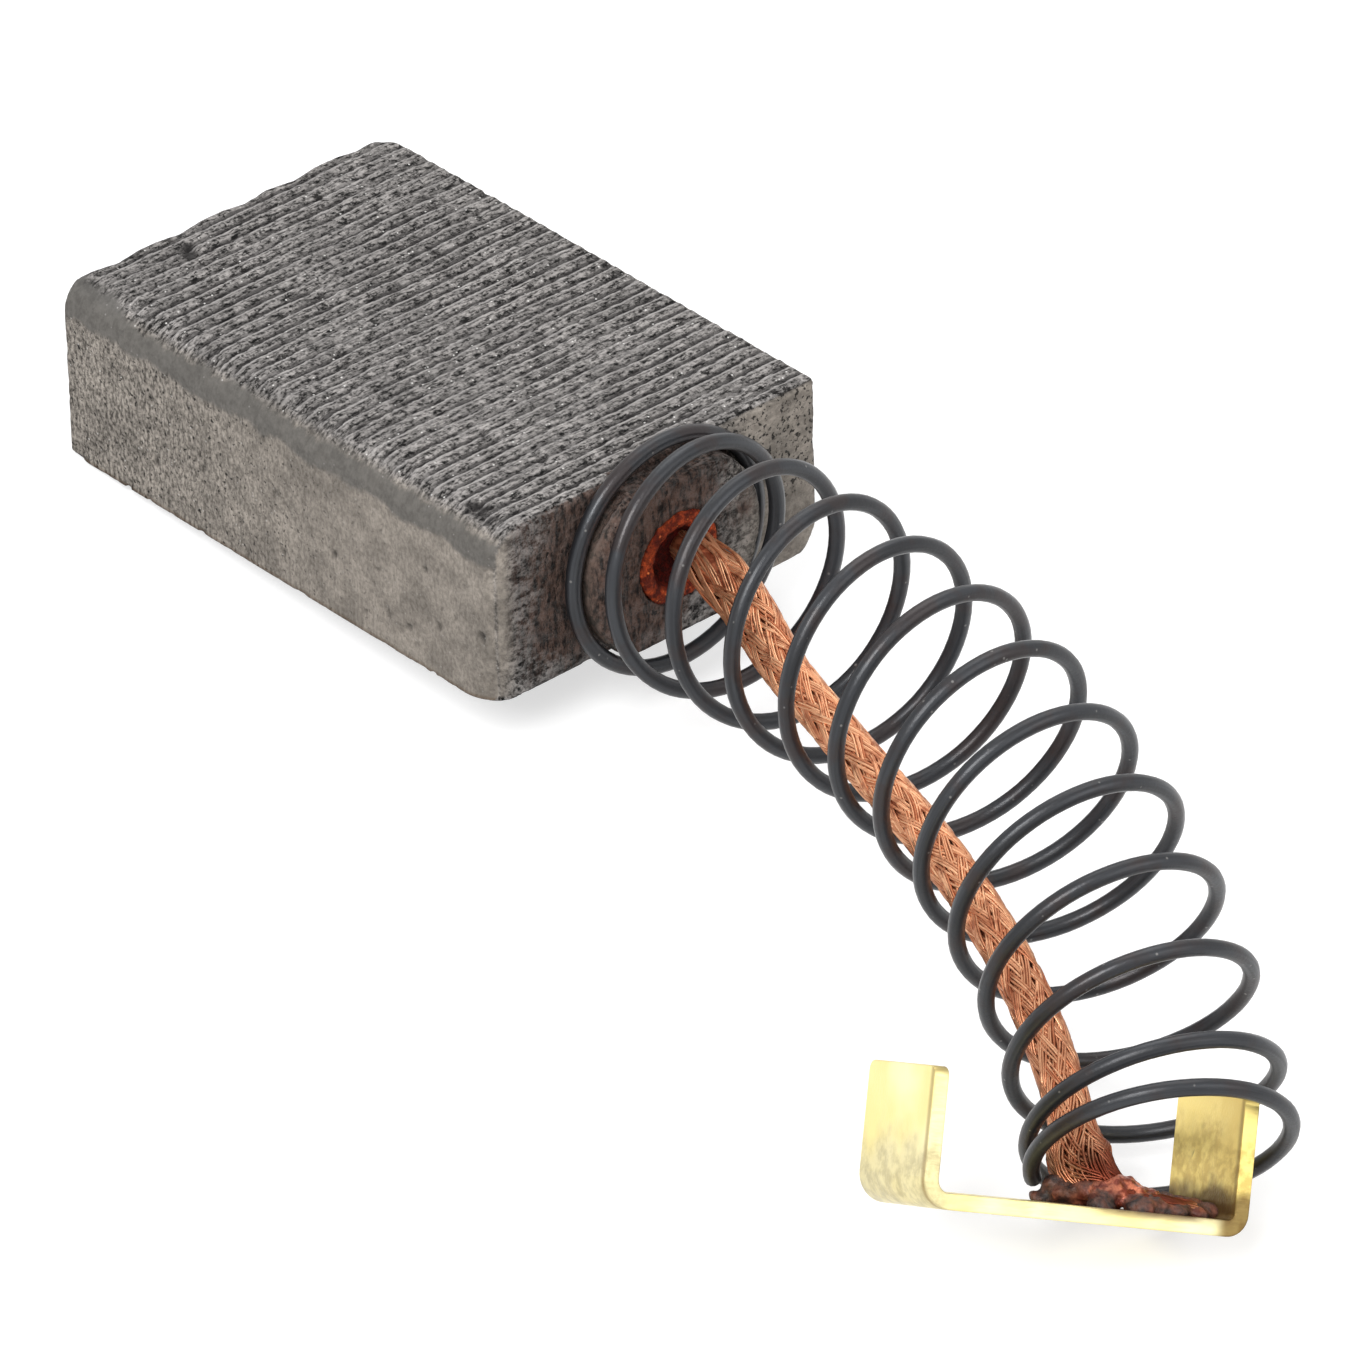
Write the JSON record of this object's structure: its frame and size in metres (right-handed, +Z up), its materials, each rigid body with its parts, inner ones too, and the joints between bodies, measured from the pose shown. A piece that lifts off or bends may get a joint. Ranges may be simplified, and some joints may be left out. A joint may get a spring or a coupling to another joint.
{
  "type": "carbon brush",
  "caption": "Rectangular carbon brush with a bowed compression spring around a braided copper pigtail that is welded to a bent brass terminal clip.",
  "frame": {"origin": "centre of the part's footprint, on the surface that it lies on", "axes": "+X along the part from the block's contact end to the terminal clip, +Y across the block's width, +Z up"},
  "size_m": [0.0544, 0.0222, 0.0116],
  "materials": {
    "carbon": "pressed matte graphite",
    "copper_powder": "matte tamped powder",
    "spring_steel": "dark oil-tempered",
    "copper_braid": "bare fine strands",
    "clip_brass": "bright rolled strip"
  },
  "bodies": {
    "root": {"carbon_block": "carbon", "tamping_plug": "copper_powder", "compression_spring": "spring_steel", "pigtail": "copper_braid", "terminal_clip": "clip_brass"}
  },
  "joints": []
}
